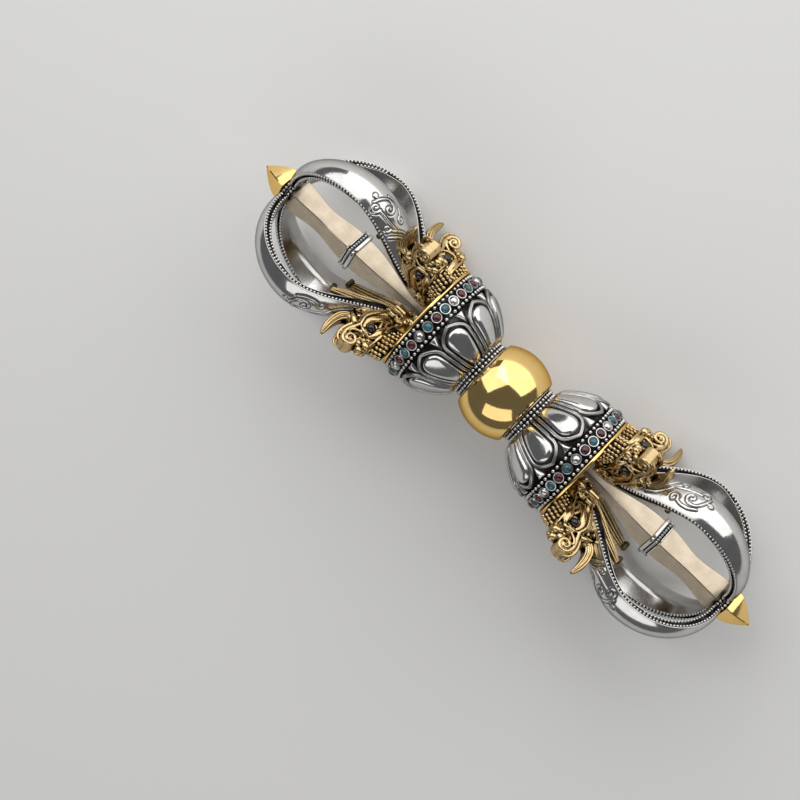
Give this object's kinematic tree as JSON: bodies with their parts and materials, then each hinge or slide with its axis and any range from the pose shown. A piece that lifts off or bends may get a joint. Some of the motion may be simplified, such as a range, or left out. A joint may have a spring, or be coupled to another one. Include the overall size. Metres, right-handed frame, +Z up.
{
  "type": "dorje vajra",
  "caption": "Double-ended ritual sceptre: a gold ball between lotus cups with gem bands, and at each end a cage of ribs in dragon mouths around a square prong with a screw-on point.",
  "frame": {"origin": "centre of the ball", "axes": "+X along the sceptre to the right end, +Z up as it lies on a table, ribs at 45 degrees to Z"},
  "size_m": [0.21, 0.0486, 0.0486],
  "materials": {
    "polished_silver": "polished silver plate with dark recesses",
    "oxidised_silver": "blackened silver plate",
    "aged_silver": "warm satin silver",
    "polished_gold": "polished gold",
    "antique_gold": "antique gold with dark recesses",
    "turquoise": "polished",
    "garnet": "polished"
  },
  "bodies": {
    "frame": {"hub_ball": "polished_gold", "hub_rod": "aged_silver", "right_neck_collar": "polished_silver", "right_lotus_cup": "polished_silver", "right_gem_band": "oxidised_silver", "right_rim_plate": "polished_gold", "right_turquoise_stones": "turquoise", "right_garnet_stones": "garnet", "right_silver_studs": "polished_silver", "right_makara_1": "antique_gold", "right_makara_2": "antique_gold", "right_makara_3": "antique_gold", "right_makara_4": "antique_gold", "right_rib_1": "polished_silver", "right_rib_2": "polished_silver", "right_rib_3": "polished_silver", "right_rib_4": "polished_silver", "right_prong": "aged_silver", "right_prong_collar": "oxidised_silver", "left_neck_collar": "polished_silver", "left_lotus_cup": "polished_silver", "left_gem_band": "oxidised_silver", "left_rim_plate": "polished_gold", "left_turquoise_stones": "turquoise", "left_garnet_stones": "garnet", "left_silver_studs": "polished_silver", "left_makara_1": "antique_gold", "left_makara_2": "antique_gold", "left_makara_3": "antique_gold", "left_makara_4": "antique_gold", "left_rib_1": "polished_silver", "left_rib_2": "polished_silver", "left_rib_3": "polished_silver", "left_rib_4": "polished_silver", "left_prong": "aged_silver", "left_prong_collar": "oxidised_silver"},
    "right_ring": {"right_tip_ring": "polished_silver"},
    "right_point": {"right_finial": "polished_gold"},
    "left_ring": {"left_tip_ring": "polished_silver"},
    "left_point": {"left_finial": "polished_gold"}
  },
  "joints": [
    {"name": "right_ring_travel", "type": "slide", "parent": "frame", "child": "right_ring", "axis": [1, 0, 0], "range_m": [0, 0.005]},
    {"name": "right_finial_unscrew", "type": "hinge", "parent": "right_ring", "child": "right_point", "pos_m": [0.096, 0, 0], "axis": [1, 0, 0], "range_deg": [0, 3600]},
    {"name": "left_ring_travel", "type": "slide", "parent": "frame", "child": "left_ring", "axis": [-1, 0, 0], "range_m": [0, 0.005]},
    {"name": "left_finial_unscrew", "type": "hinge", "parent": "left_ring", "child": "left_point", "pos_m": [-0.096, 0, 0], "axis": [-1, 0, 0], "range_deg": [0, 3600]}
  ],
  "couplings": [
    {"joint": "right_finial_unscrew", "follows": "right_ring_travel", "rad_per_m": 12566},
    {"joint": "left_finial_unscrew", "follows": "left_ring_travel", "rad_per_m": 12566}
  ]
}
